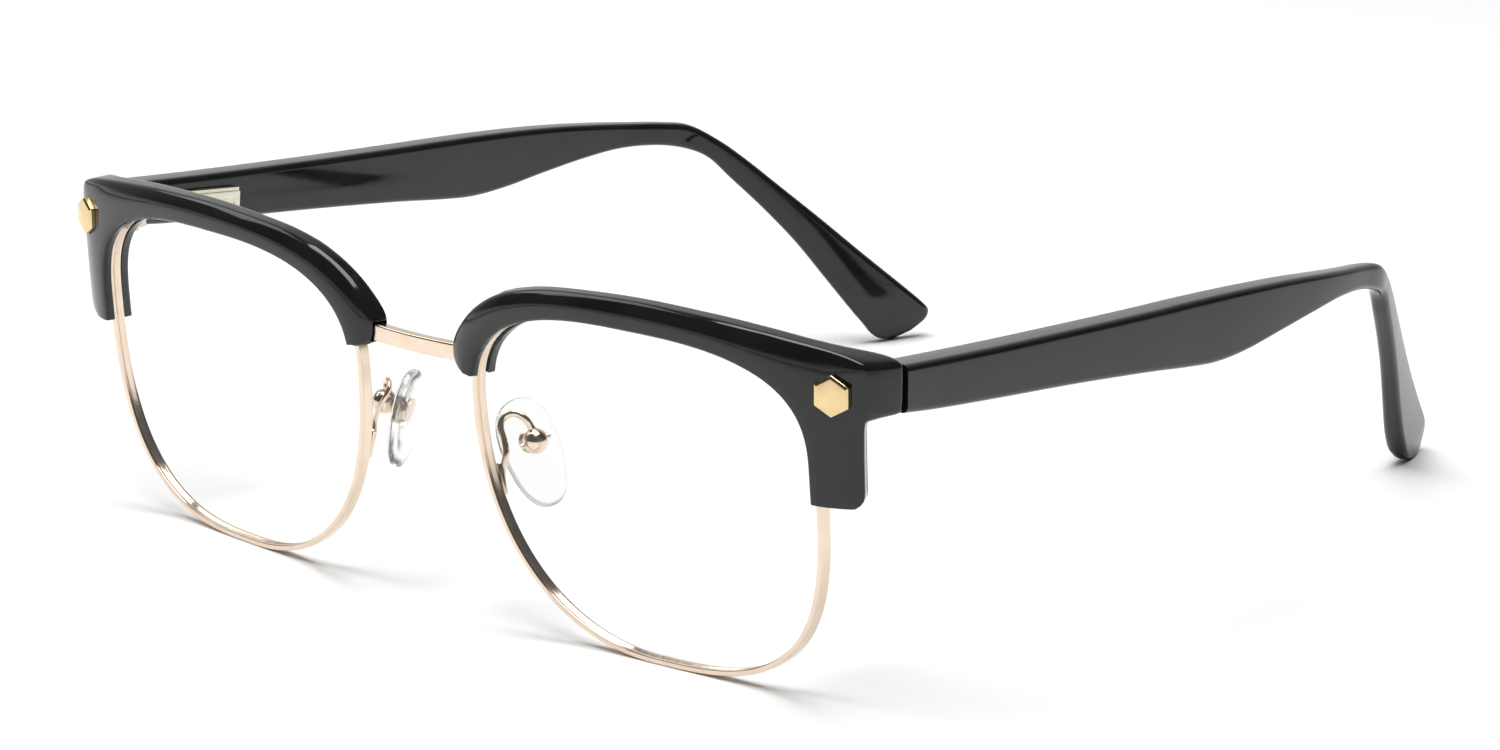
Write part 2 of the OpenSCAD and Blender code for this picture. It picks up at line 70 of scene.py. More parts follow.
joints = {j["name"]: j for j in frame["joints"]}
slot_of = {s["node"]: s["material_slot"] for s in frame["record"]["subparts"]}
MM = 0.001
SIDES = {"left": 1, "right": -1}


def span(node):
    """The lowest and highest corner of a CAD node, in mm."""
    low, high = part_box(node)
    return np.array(low) / MM, np.array(high) / MM


# ------------------------------------------------------------------ driving dimensions, mm
# The front plane lies this far before the hinge pins. Depths are measured back from it.
PIN_DEPTH = 10.2
PIN = np.array(joints["fold_left"]["pos_m"]) / MM
PAD_PIN = np.array(joints["pad_rock_left"]["pos_m"]) / MM
FRONT_Y = PIN[1] - PIN_DEPTH
# the eyewire's section: inner and outer edge from the lens outline, and its depth
WIRE_IN, WIRE_OUT, WIRE_D = -0.15, 0.6, 1.7
rim_low, rim_high = span("eyewire_left")
LENS_W = rim_high[0] - rim_low[0] - 2 * WIRE_OUT
LENS_H = rim_high[2] - rim_low[2] - 2 * WIRE_OUT
# half widths towards the nose and the side, and heights above and below the centre
OFF_CENTRE, TOP_SHARE = 0.15, 0.332
A_NOSE, A_SIDE = LENS_W / 2 - OFF_CENTRE, LENS_W / 2 + OFF_CENTRE
B_TOP, B_LOW = LENS_H * TOP_SHARE, LENS_H * (1 - TOP_SHARE)
LENS_CX = rim_low[0] + WIRE_OUT + A_NOSE
LENS_CZ = rim_low[2] + WIRE_OUT + B_LOW
# how square each quarter of the outline is: 2 is an ellipse
ROUND = {"top_nose": 2.59, "top_side": 2.85, "low_nose": 2.21, "low_side": 3.04}
# radius the lenses bow on, and the slopes of the front sideways and upwards
BASE_R, WRAP, PANTO = 187, 0.08, 0.076
LENS_T = 1.3
GROOVE, PLAY = 0.3, 0.06
BROW_LIP, BROW_BACK = 1.3, 1.4           # the brow before and behind the eyewire
BUTT_Y, BUTT_GAP, TEMPLE_T = 10.5, 0.35, 4.5
BRIDGE_Z, BRIDGE_BOW, BRIDGE_D, BRIDGE_H = 34.3, 55, 1.4, 2.2
STUD_X, STUD_Z, STUD_H = 66, 39, 5
PAD_H, PAD_W, PAD_T = 14, 7.9, 2


# ------------------------------------------------------------------ the lens outline
def spow(v, e):
    """Power of a number that keeps its sign."""
    return np.sign(v) * np.abs(v) ** e


def shape(t):
    """Outline of the lens at angle t in degrees, as [outwards, up] from its centre."""
    a = np.radians(np.asarray(t, float))
    c, s = np.cos(a), np.sin(a)
    top = np.where(c > 0, ROUND["top_side"], ROUND["top_nose"])
    low = np.where(c > 0, ROUND["low_side"], ROUND["low_nose"])
    n = np.where(s > 0, top, low)
    u = np.where(c > 0, A_SIDE, A_NOSE) * spow(c, 2 / n)
    v = np.where(s > 0, B_TOP, B_LOW) * spow(s, 2 / n)
    return np.stack([u, v], -1)


def edge(t, off):
    """Outline moved outwards by off."""
    d = shape(np.asarray(t) + 0.4) - shape(np.asarray(t) - 0.4)
    d /= np.linalg.norm(d, axis=-1, keepdims=True)
    return shape(t) + off * np.stack([d[..., 1], -d[..., 0]], -1)


def edge_by(t, off):
    """Like edge, with its own offset at every angle."""
    return shape(t) + np.asarray(off)[..., None] * (edge(t, 1) - shape(t))


def dish(p):
    """Depth of the curved front under a point [outwards, up] from the lens centre."""
    u, v = p[..., 0], p[..., 1]
    return WRAP * u + (u * u + v * v) / (2 * BASE_R) - PANTO * v


def at_lens(p, y):
    """Points [x, y, z] from points [outwards, up] from the lens centre and a depth."""
    return np.stack([LENS_CX + p[..., 0], FRONT_Y + y + 0 * p[..., 0], LENS_CZ + p[..., 1]], -1)


def mix(a, b, k):
    """The value a share k of the way from a to b."""
    return a + (b - a) * k


def rows_at(table, k):
    """Smooth curve through the rows of a table; k counts rows."""
    tab = np.asarray(table, float)
    k = np.atleast_1d(k)
    m = len(tab) - 1
    i = np.minimum(np.floor(k).astype(int), m - 1)
    f = (k - i)[:, None]
    a, b = tab[np.maximum(i - 1, 0)], tab[i]
    c, d = tab[i + 1], tab[np.minimum(i + 2, m)]
    square = (2 * a - 5 * b + 4 * c - d) * f * f
    return 0.5 * (2 * b + (c - a) * f + square + (3 * b - a - 3 * c + d) * f ** 3)


# ------------------------------------------------------------------ mesh helpers
def rounded(rings, radii, steps=4):
    """Rings of points with each corner replaced by a small curve of about that radius."""
    before, after = np.roll(rings, 1, 1), np.roll(rings, -1, 1)
    out = []
    for i, radius in enumerate(radii):
        p = rings[:, i]
        cut = []
        for q in (before[:, i], after[:, i]):
            length = np.linalg.norm(q - p, axis=-1, keepdims=True)
            cut.append(p + (q - p) * np.minimum(0.48, radius / np.maximum(length, 1e-6)))
        for s in range(steps + 1):
            f = s / steps
            out.append((1 - f) ** 2 * cut[0] + 2 * f * (1 - f) * p + f * f * cut[1])
    return np.stack(out, 1)


def loft(name, rings, closed=False, sharp=38, side=1):
    """Mesh object through rings of points in mm, mirrored when side is -1."""
    rings = np.array(rings, float)
    rings[..., 0] *= side
    m, n = rings.shape[:2]
    faces = []
    for i in range(m if closed else m - 1):
        for j in range(n):
            a, b = i * n + j, i * n + (j + 1) % n
            c, d = (i + 1) % m * n + (j + 1) % n, (i + 1) % m * n + j
            faces.append((a, b, c, d))
    if not closed:
        faces += [tuple(range(n))[::-1], tuple(range((m - 1) * n, m * n))]
    mesh = bpy.data.meshes.new(name)
    mesh.from_pydata((rings.reshape(-1, 3) * MM).tolist(), [], faces)
    return finished(name, mesh, sharp)


def finished(name, mesh, sharp):
    """Object from a mesh, with outward normals, smooth shading and sharp creases."""
    bm = bmesh.new()
    bm.from_mesh(mesh)
    bmesh.ops.remove_doubles(bm, verts=bm.verts, dist=1e-7)
    bmesh.ops.dissolve_degenerate(bm, edges=bm.edges, dist=1e-7)
    bmesh.ops.recalc_face_normals(bm, faces=bm.faces)
    bm.to_mesh(mesh)
    bm.free()
    mesh.shade_smooth()
    mesh.set_sharp_from_angle(angle=math.radians(sharp))
    obj = bpy.data.objects.new(name, mesh)
    bpy.context.scene.collection.objects.link(obj)
    return obj


def tube(path, wide, thick, sides, never):
    """Rings of an oval bar along a path; never is a direction the path doesn't take."""
    path = np.asarray(path, float)
    d = np.gradient(path, axis=0)
    d /= np.linalg.norm(d, axis=1, keepdims=True)
    u = np.cross(d, never)
    u /= np.linalg.norm(u, axis=1, keepdims=True)
    v = np.cross(u, d)
    a = np.linspace(0, 2 * np.pi, sides, endpoint=False)
    ring = wide * np.cos(a)[:, None] * u[:, None] + thick * np.sin(a)[:, None] * v[:, None]
    return path[:, None] + ring


def block(name, low, high, turn=None, bevel=0.0):
    """Box from corner to corner in mm, with rounded edges, in a frame given by turn."""
    mesh = bpy.data.meshes.new(name)
    bm = bmesh.new()
    bmesh.ops.create_cube(bm, size=1)
    low, high = np.array(low, float), np.array(high, float)
    for v in bm.verts:
        v.co = Vector((low + high) / 2 + np.array(v.co) * (high - low))
    if bevel:
        bmesh.ops.bevel(bm, geom=list(bm.edges), offset=bevel, segments=3, affect="EDGES",
                        profile=0.5)
    bm.transform(turn or Matrix.Identity(4))
    bm.transform(Matrix.Scale(MM, 4))
    bm.to_mesh(mesh)
    bm.free()
    return finished(name, mesh, 38)


def cut(obj, cutters, sharp=38):
    """Cuts other objects out of obj, and removes them."""
    for tool in cutters:
        modifier = obj.modifiers.new("cut", "BOOLEAN")
        modifier.operation = "DIFFERENCE"
        modifier.solver = "EXACT"
        modifier.object = tool
    bpy.context.view_layer.update()
    result = obj.evaluated_get(bpy.context.evaluated_depsgraph_get())
    mesh = bpy.data.meshes.new_from_object(result)
    obj.modifiers.clear()
    obj.data = mesh
    mesh.shade_smooth()
    mesh.set_sharp_from_angle(angle=math.radians(sharp))
    for tool in cutters:
        bpy.data.objects.remove(tool)
    return obj


def mirrored(side):
    """Matrix that mirrors the left side's shapes when side is -1."""
    return Matrix.Scale(-1, 4, (1, 0, 0)) if side < 0 else Matrix.Identity(4)


def turned(side, place, *angles):
    """Mirror, then move to place, then turn by each [x, y, z] in degrees."""
    m = mirrored(side) @ Matrix.Translation(Vector(place))
    for x, y, z in angles:
        for angle, axis in ((z, "Z"), (y, "Y"), (x, "X")):
            m = m @ Matrix.Rotation(math.radians(angle), 4, axis)
    return m


def moved(rings, matrix):
    """Rings of points with a matrix applied."""
    r = np.array(matrix.to_3x3())
    return np.asarray(rings) @ r.T + np.array(matrix.translation)


# ------------------------------------------------------------------ materials
def noise(nt, scale, detail=4, stretch=None):
    """Noise over the object's own coordinates, stretched if asked."""
    coords = nt.nodes.new("ShaderNodeTexCoord")
    mapping = nt.nodes.new("ShaderNodeMapping")
    mapping.inputs["Scale"].default_value = stretch or (1, 1, 1)
    texture = nt.nodes.new("ShaderNodeTexNoise")
    texture.inputs["Scale"].default_value = scale
    texture.inputs["Detail"].default_value = detail
    nt.links.new(coords.outputs["Object"], mapping.inputs["Vector"])
    nt.links.new(mapping.outputs["Vector"], texture.inputs["Vector"])
    return texture.outputs["Fac"]


def ramp(nt, value, low, high, start=0.3, end=0.7):
    """Colour between low and high as value goes from start to end."""
    r = nt.nodes.new("ShaderNodeValToRGB")
    for e, position, colour in zip(r.color_ramp.elements, (start, end), (low, high)):
        e.position = position
        e.color = (*colour, 1)
    nt.links.new(value, r.inputs["Fac"])
    return r.outputs["Color"]


def spread(nt, value, low, high):
    """Number between low and high as value goes from 0.3 to 0.7."""
    r = nt.nodes.new("ShaderNodeMapRange")
    for socket, v in zip(("From Min", "From Max", "To Min", "To Max"), (0.3, 0.7, low, high)):
        r.inputs[socket].default_value = v
    nt.links.new(value, r.inputs["Value"])
    return r.outputs["Result"]


def bump(nt, value, strength, distance):
    """Normal that follows value as a height, in metres."""
    b = nt.nodes.new("ShaderNodeBump")
    b.inputs["Strength"].default_value = strength
    b.inputs["Distance"].default_value = distance
    nt.links.new(value, b.inputs["Height"])
    return b.outputs["Normal"]


def shader(name, **values):
    """New material, its node tree and its Principled shader with constant inputs set."""
    mat = bpy.data.materials.new(name)
    mat.use_nodes = True
    nt = mat.node_tree
    bsdf = nt.nodes["Principled BSDF"]
    for socket, value in values.items():
        bsdf.inputs[socket.replace("_", " ")].default_value = value
    return mat, nt, bsdf


def acetate_material():
    """Polished black acetate, faintly cloudy."""
    mat, nt, bsdf = shader("acetate", IOR=1.49)
    cloud = noise(nt, 120, 3)
    nt.links.new(ramp(nt, cloud, (0.006, 0.0068, 0.0066), (0.011, 0.0122, 0.0117)),
                 bsdf.inputs["Base Color"])
    polish = noise(nt, 900, 6, (1, 0.25, 1))
    nt.links.new(spread(nt, polish, 0.05, 0.1), bsdf.inputs["Roughness"])
    nt.links.new(bump(nt, noise(nt, 260, 2), 0.05, 0.00004), bsdf.inputs["Normal"])
    return mat


def metal_material(name, low, high, rough, grain, streak=None):
    """Plated metal between two colours, with a fine grain that may run one way."""
    mat, nt, bsdf = shader(name, Metallic=1.0)
    nt.links.new(ramp(nt, noise(nt, 350, 4), low, high), bsdf.inputs["Base Color"])
    fine = noise(nt, grain, 5, streak)
    nt.links.new(spread(nt, fine, *rough), bsdf.inputs["Roughness"])
    nt.links.new(bump(nt, fine, 0.08, 0.00002), bsdf.inputs["Normal"])
    return mat


def silicone_material():
    """Clear soft silicone, slightly cloudy."""
    mat, nt, bsdf = shader("silicone", IOR=1.41, Transmission_Weight=0.93)
    nt.links.new(ramp(nt, noise(nt, 500, 3), (0.93, 0.94, 0.94), (0.97, 0.975, 0.97)),
                 bsdf.inputs["Base Color"])
    nt.links.new(spread(nt, noise(nt, 1400, 4), 0.05, 0.14), bsdf.inputs["Roughness"])
    return mat


def lens_material():
    """Coated clear lens: nearly invisible face on, with a painted bluish sheen at its edge."""
    mat, nt, bsdf = shader("lens", IOR=1.5)
    nt.links.new(ramp(nt, noise(nt, 60, 2), (0.8, 0.88, 1), (0.86, 0.93, 1)),
                 bsdf.inputs["Base Color"])
    # painted reflection: the pale bluish base colour grows more opaque towards glancing angles,
    # standing in for the coating's sheen
    facing = nt.nodes.new("ShaderNodeLayerWeight")
    facing.inputs["Blend"].default_value = 0.2
    nt.links.new(spread(nt, facing.outputs["Facing"], 0.015, 0.14), bsdf.inputs["Alpha"])
    nt.links.new(spread(nt, noise(nt, 300, 2), 0.015, 0.03), bsdf.inputs["Roughness"])
    return mat


MATERIALS = {
    "acetate": acetate_material(),
    "rose_metal": metal_material("rose_metal", (0.76, 0.62, 0.49), (0.82, 0.68, 0.55),
                                 (0.09, 0.17), 1800),
    "stud_gold": metal_material("stud_gold", (0.72, 0.54, 0.28), (0.82, 0.64, 0.36),
                                (0.12, 0.24), 1500),
    "hinge_metal": metal_material("hinge_metal", (0.68, 0.65, 0.52), (0.76, 0.73, 0.6),
                                  (0.22, 0.38), 2500, (1, 0.08, 1)),
    "silicone": silicone_material(),
    "lens": lens_material(),
}


def place(obj, node):
    """obj stands for a CAD node: it takes that node's body and material slot."""
    obj.data.materials.clear()
    obj.data.materials.append(MATERIALS[slot_of[node]])
    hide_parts(node)
    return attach(obj, nodes[node]["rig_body"])


for node, obj in nodes.items():
    obj.data.materials.clear()
    obj.data.materials.append(MATERIALS[slot_of[node]])


# ------------------------------------------------------------------ brows
# Rows from the nose tip over the lens to the foot of the leg. Each row: angle on the lens
# outline, the outer edge [x, z], the back outer edge [x, z], its depth behind the front
# face, the inner edge of the end piece [x, z], and how far it runs back (0 or 1).
BROW_ROWS = [
    [170.6, 9.4, 32.2, 9.2, 32.3, 2.6, 9.8, 32.4, 0],
    [169.6, 8.2, 32.6, 7.9, 32.8, 3.1, 8.8, 32.8, 0],
    [168, 7.4, 33.4, 7.1, 33.6, 3.3, 8.2, 33.5, 0],
    [165.5, 7.1, 34.8, 6.8, 35, 3.3, 8, 34.7, 0],
    [161.5, 7.4, 36.4, 7.1, 36.6, 3.3, 8.2, 36, 0],
    [155, 8.9, 38.5, 8.7, 38.7, 3.2, 9.7, 37.8, 0],
    [145, 11.4, 40.8, 11.2, 41, 3, 12.1, 40.1, 0],
    [135, 14.6, 42.7, 14.5, 42.9, 2.9, 15.3, 42, 0],
    [125, 18.6, 44.1, 18.5, 44.3, 2.9, 19, 43.5, 0],
    [110, 25.1, 45.3, 25, 45.4, 2.9, 25.2, 44.6, 0],
    [90, 36.8, 46, 36.8, 46.1, 3, 36.8, 45.2, 0],
    [72, 47.8, 45.75, 47.8, 45.85, 3.1, 47.6, 44.9, 0],
    [58, 54.8, 45.2, 54.8, 45.35, 3.2, 54.4, 44.4, 0],
    [47, 60.4, 44.6, 60.2, 44.8, 3.2, 59.6, 43.8, 0],
    [39, 64.8, 44, 64.8, 44.1, 3.3, 63.4, 43.2, 0.15],
    [34, 67.6, 43.3, 68.7, 43.1, 3.4, 65.5, 42.7, 0.75],
    [30.5, 69, 42.6, 70.4, 42.3, 3.4, 66.2, 42.1, 1],
    [27, 69.4, 41.5, 70.7, 41.2, 3.4, 66.3, 41.3, 1],
    [21, 69.5, 39.3, 70.7, 39.2, 3.4, 66.3, 39.4, 1],
    [15.5, 69.5, 37.4, 70.6, 37.1, 3.4, 66.3, 37.4, 1],
    [13.6, 69.3, 36.7, 70.3, 36.4, 3.4, 66.3, 36.6, 0.96],
    [12.6, 69.2, 36.2, 69.2, 36, 3.1, 66.3, 36.1, 0.18],
    [11, 69, 35.4, 68.1, 35.3, 3, 66.3, 35.2, 0],
    [5, 68.9, 32.6, 67.9, 32.6, 3, 66.4, 32.6, 0],
    [0, 68.8, 28.7, 67.8, 28.7, 3, 66.4, 28.7, 0],
    [-1.4, 68.7, 26.8, 67.7, 26.8, 3, 66.4, 26.8, 0],
    [-2, 68.3, 25.9, 67.3, 25.9, 2.8, 66.2, 25.9, 0],
    [-2.3, 67.6, 25.3, 66.8, 25.3, 2.5, 65.8, 25.3, 0]]
BROW_STEPS = 8                           # rings between two rows
# corner radii of the section, from the lens side round the front, top and back
BROW_RADII = [0.15, 0.15, 0.6, 1.2, 1.2, 1.2, 1.2, 0.9, 0.32, 0.8, 0.45, 0.35, 0.35, 0.4,
              0.5, 0.5, 0.25, 0.15, 0.05, 0.05, 0.05, 0.05]


SWEEP, SWEEP_X = 0.006, 60               # the end piece sweeps back from here outwards


def face_y(q):
    """Front face of the brow under a point [x, z]."""
    depth = dish(q - np.array([LENS_CX, LENS_CZ])) - BROW_LIP
    return depth + SWEEP * np.maximum(0, q[..., 0] - SWEEP_X) ** 2


def brow_rings():
    """Rings of the brow's section, from the nose tip to the foot of the leg."""
    last = len(BROW_ROWS) - 1
    k = np.linspace(0, last, last * BROW_STEPS + 1)
    r = rows_at(BROW_ROWS, k)
    t, deep, e = r[:, 0], r[:, 5], np.clip(r[:, 8], 0, 1)
    tip = np.minimum(1, 0.45 + 0.55 * np.minimum(k, last - k))
    centre = np.array([LENS_CX, LENS_CZ])
    over = mix(0.1, 0.45, np.clip((t + 5) / 60, 0, 1))
    lip, lip2 = centre + edge_by(t, -over), centre + edge_by(t, 0.25 - over)
    channel, root = centre + edge(t, WIRE_OUT + PLAY), centre + edge(t, WIRE_OUT + 0.3)
    wy = dish(edge(t, 0))
    q, b, g = r[:, 1:3], r[:, 3:5], r[:, 6:8]
    back, rear = wy + WIRE_D + BROW_BACK, face_y(q) + deep
    ye = mix(rear, BUTT_Y, e)
    crown = []
    for s in (0.2, 0.4, 0.6, 0.78, 0.9):
        p = mix(root, q, s)
        crown.append((p, face_y(p) + 0.9 * s ** 2.2))
    points = [
        (lip, np.maximum(face_y(lip), wy - BROW_LIP * tip) + 0.45),
        (lip2, face_y(lip2) + 0.12), (root, face_y(root)), *crown, (q, face_y(q) + 1.05),
        (mix(q, b, 0.6), mix(face_y(q) + 1.05, ye, 0.45)), (b, ye - 0.5),
        (mix(b, g, 0.15), ye), (mix(g, b, 0.12), ye),
        (g, mix(ye - 0.3, rear + 0.3, 0.15)), (mix(g, root, 0.1), mix(back, rear, 0.9)),
        (mix(root, g, 0.3), mix(back, rear, 0.15)), (lip2, back), (lip, back - 0.3),
        (lip, wy + WIRE_D + PLAY), (channel, wy + WIRE_D + PLAY), (channel, wy - PLAY),
        (lip, wy - PLAY)]
    rings = [np.stack([p[:, 0], FRONT_Y + y, p[:, 1]], -1) for p, y in points]
    return rounded(np.stack(rings, 1), BROW_RADII)


def stud_place(side):
    """Matrix to the stud's place, turned with the brow's face."""
    slope = WRAP + (STUD_X - LENS_CX) / BASE_R + 2 * SWEEP * (STUD_X - SWEEP_X)
    turn = math.degrees(math.atan(slope))
    y = FRONT_Y + float(face_y(np.array([STUD_X, STUD_Z])))
    return turned(side, (STUD_X, y, STUD_Z), (0, 0, turn))


def hexagon(r, y, radius):
    """Point-up hexagon facing forwards at depth y, with small round corners."""
    a = np.radians(np.arange(6) * 60 + 90)
    ring = np.stack([r * np.cos(a), 0 * a + y, r * np.sin(a)], -1)[None]
    return rounded(ring, [radius] * 6, 3)[0]


def make_brow(name, side):
    """Brow with the bridge's slot, the closing block's pocket and the stud's seat."""
    brow = loft("brow_" + name, brow_rings(), side=side)
    room = BRIDGE_H / 2 + 0.15
    slot = block("slot", (5, FRONT_Y - 0.75, BRIDGE_Z - room),
                 (10.95, FRONT_Y + 1.35, BRIDGE_Z + room), mirrored(side))
    pocket = block("pocket", (63.25, FRONT_Y + 4.3, 26.9), (66.65, FRONT_Y + 10.3, 31.8),
                   mirrored(side))
    seat = [hexagon(STUD_H / 2 + 0.14, y, 0.2) for y in (-1.5, 0.4)]
    recess = loft("recess", moved(seat, stud_place(side)))
    place(cut(brow, [slot, pocket, recess]), "brow_" + name)


def make_stud(name, side):
    """Hexagonal head with a bevel and a slightly domed face."""
    r = STUD_H / 2
    profile = [(r, 0.35), (r, -0.34), (r - 0.04, -0.4), (r - 0.3, -0.52)]
    profile += [(size, -0.54 - 0.16 * (1 - (size / r) ** 2))
                for size in (2.1, 1.7, 1.2, 0.7, 0.2)]
    rings = [hexagon(size, y, 0.12) for size, y in profile]
    stud = loft("stud_" + name, moved(rings, stud_place(side)), sharp=16)
    place(stud, "stud_" + name)


# ------------------------------------------------------------------ eyewires and lenses
def make_eyewire(name, side):
    """Flat wire round the lens, grooved inside."""
    t = np.linspace(0, 360, 420, endpoint=False)
    mid = WIRE_D / 2
    # offset from the lens outline, depth and corner radius
    section = [(WIRE_IN, 0.1, 0.1), (WIRE_IN + 0.1, 0, 0.1), (WIRE_OUT - 0.12, 0, 0.15),
               (WIRE_OUT, 0.12, 0.15), (WIRE_OUT, WIRE_D - 0.12, 0.15),
               (WIRE_OUT - 0.12, WIRE_D, 0.15), (WIRE_IN + 0.1, WIRE_D, 0.1),
               (WIRE_IN, WIRE_D - 0.1, 0.1), (WIRE_IN, mid + 0.45, 0.04),
               (WIRE_IN + GROOVE + PLAY, mid, 0.04), (WIRE_IN, mid - 0.45, 0.04)]
    rings = [at_lens(edge(t, off), dish(edge(t, 0)) + y) for off, y, _ in section]
    rings = rounded(np.stack(rings, 1), [radius for _, _, radius in section])
    place(loft("eyewire_" + name, rings, closed=True, side=side), "eyewire_" + name)


def make_lens(name, side):
    """Bowed lens with a bevel that sits in the eyewire's groove."""
    t = np.linspace(0, 360, 240, endpoint=False)
    mid, inset = WIRE_D / 2, WIRE_IN - PLAY
    # share of the lens's size and depth of each ring; None is the crest of the bevel
    faces = np.linspace(0.02, 0.985, 14)
    rows = [(f, mid - LENS_T / 2) for f in faces] + [(1, mid - LENS_T / 2 + 0.15)]
    rows += [(None, mid)] + [(1, mid + LENS_T / 2 - 0.15)]
    rows += [(f, mid + LENS_T / 2) for f in faces[::-1]]
    rings = []
    for shrink, y in rows:
        bevel = shrink is None
        p = edge(t, WIRE_IN + GROOVE - 0.04) if bevel else shrink * edge(t, inset)
        rings.append(at_lens(p, dish(p) + y))
    place(loft("lens_" + name, rings, sharp=30, side=side), "lens_" + name)


# ------------------------------------------------------------------ bridge
def make_bridge():
    """Bar from one eyewire to the other, bowed forwards in plan."""
    half = math.asin((LENS_CX - A_NOSE + 0.1) / BRIDGE_BOW)
    rings = []
    for a in np.linspace(-half, half, 61):
        centre = np.array([BRIDGE_BOW * math.sin(a),
                           FRONT_Y - 0.35 + BRIDGE_BOW * (1 - math.cos(a)), BRIDGE_Z])
        out = np.array([math.sin(a), -math.cos(a), 0]) * BRIDGE_D / 2
        up = np.array([0, 0, BRIDGE_H / 2])
        rings.append([centre + sx * out + sz * up
                      for sx, sz in ((1, 1), (-1, 1), (-1, -1), (1, -1))])
    place(loft("bridge_bar", rounded(np.array(rings), [0.36] * 4, 8)), "bridge")


# ------------------------------------------------------------------ temples
# Rows from the hinge to the tip. Each row: upper edge [y, z], lower edge [y, z], outer x,
# thickness and the heading inwards.
TEMPLE_ROWS = [
    [BUTT_Y + BUTT_GAP, 41.95, BUTT_Y + BUTT_GAP, 36.15, 70.7, TEMPLE_T, 0],
    [16.9, 41.5, 17, 35.4, 70.4, TEMPLE_T, 2],
    [27.9, 40.8, 28, 34.4, 70, TEMPLE_T, 2],
    [42.9, 40, 43, 33.1, 69.4, TEMPLE_T - 0.1, 2],
    [56.9, 39.35, 57, 31.7, 68.9, TEMPLE_T - 0.2, 2],
    [65.9, 39, 65.3, 30.7, 68.5, TEMPLE_T - 0.3, 2],
    [73.4, 38.65, 71.3, 30.2, 68.2, TEMPLE_T - 0.45, 3],
    [80.9, 38.2, 77.5, 30.5, 67.8, TEMPLE_T - 0.65, 4],
    [88.4, 37.6, 84.5, 31.4, 67.2, TEMPLE_T - 0.9, 6],
    [95.5, 36.85, 92.3, 32.3, 66.4, TEMPLE_T - 1.2, 9],
    [101.5, 36.15, 99.3, 32.8, 65.3, TEMPLE_T - 1.5, 14],
    [107, 35.5, 105.9, 32.4, 63.9, TEMPLE_T - 1.75, 20],
    [111.5, 34.6, 111, 31.2, 62.7, TEMPLE_T - 1.95, 24],
    [115.6, 32.1, 114.2, 29.5, 61, TEMPLE_T - 2.05, 27],
    [119.3, 29, 117.2, 26.2, 59.2, TEMPLE_T - 2.1, 29],
    [124, 24.5, 121.3, 21.6, 56.8, TEMPLE_T - 2.1, 29],
    [129.4, 19.3, 125.6, 16.2, 54.1, TEMPLE_T - 2.1, 29],
    [135.2, 13.6, 129.4, 10.6, 51.5, TEMPLE_T - 2, 29],
    [140.8, 8.3, 132.9, 5.5, 49.2, TEMPLE_T - 1.8, 29],
    [143.9, 5.3, 135, 2.7, 48, TEMPLE_T - 1.8, 29],
    [144.8, 4, 135.9, 1.5, 47.6, TEMPLE_T - 2.1, 29],
    [144.4, 2.7, 137.2, 0.5, 47.4, TEMPLE_T - 2.5, 29],
    [142.7, 1.2, 139.1, 0, 47.4, TEMPLE_T - 3.3, 29]]
TEMPLE_STEPS = 8
HOUSE_END, HOUSE_H = 17.7, 3             # the spring housing's rear end and height
ARM_DIP, ARM_TURN = 5, 2.2               # how far it dips to the rear and leans inwards


def temple_rings():
    """Rings of the temple's rounded oblong section."""
    last = len(TEMPLE_ROWS) - 1
    r = rows_at(TEMPLE_ROWS, np.linspace(0, last, last * TEMPLE_STEPS + 1))
    h, w = np.radians(r[:, 6]), r[:, 5:6]
    lean = 0.34 * np.tan(h) * (r[:, 0] - r[:, 2])
    up = np.stack([r[:, 4] - lean, r[:, 0], r[:, 1]], -1)
    low = np.stack([r[:, 4] + lean, r[:, 2], r[:, 3]], -1)
    tall = np.linalg.norm(up - low, axis=1, keepdims=True)
    v = (up - low) / tall
    inwards = np.stack([-np.cos(h), -np.sin(h), 0 * h], -1)
    mid = (up + low) / 2 + inwards * w / 2
    rad = np.minimum(0.9, np.minimum(0.47 * tall, 0.47 * w))
    rings = []
    for cx, cz in ((1, 1), (-1, 1), (-1, -1), (1, -1)):
        for j in range(9):
            a = math.atan2(cz, cx) + math.radians(j * 11.25 - 45)
            across = cx * (w / 2 - rad) + rad * math.cos(a)
            along = cz * (tall / 2 - rad) + rad * math.sin(a)
            rings.append(mid - inwards * across + v * along + [0, FRONT_Y, 0])
    return np.stack(rings, 1)


def make_temple(name, side):
    """Temple with the slot that the spring housing lies in."""
    temple = loft("temple_" + name, temple_rings(), side=side)
    slot = block("slot", (-2, -2, -HOUSE_H / 2 - 0.05),
                 (3.05, HOUSE_END + 0.05, HOUSE_H / 2 + 0.05),
                 turned(side, PIN, (-ARM_DIP, 0, ARM_TURN)))
    place(cut(temple, [slot]), "temple_" + name)


# ------------------------------------------------------------------ nose pads
# where the pad arm runs, from its foot on the eyewire up and over to the box
ARM_PATH = [[11.75, 2.75, 18.2], [11.6, 3.1, 19.8], [11.7, 3.5, 21.6], [11.2, 3.7, 23.1],
            [10.3, 4, 24.6], [10.3, 4.7, 25.75], [11.4, 5.5, 26.2], [12.5, 6.1, 25.6],
            [13, 6.5, 24.7], [13.4, 6.75, 23.9]]
PAD_TURN = ((8.5, -20, 0), (0, 0, -26))
PAD_C = np.array([-2.95, 0, -1.6])       # the pad's centre from its pin
BOX_R = 1.6
ARM_WIDE, ARM_THICK = 0.44, 0.34         # half widths of the arm's wire


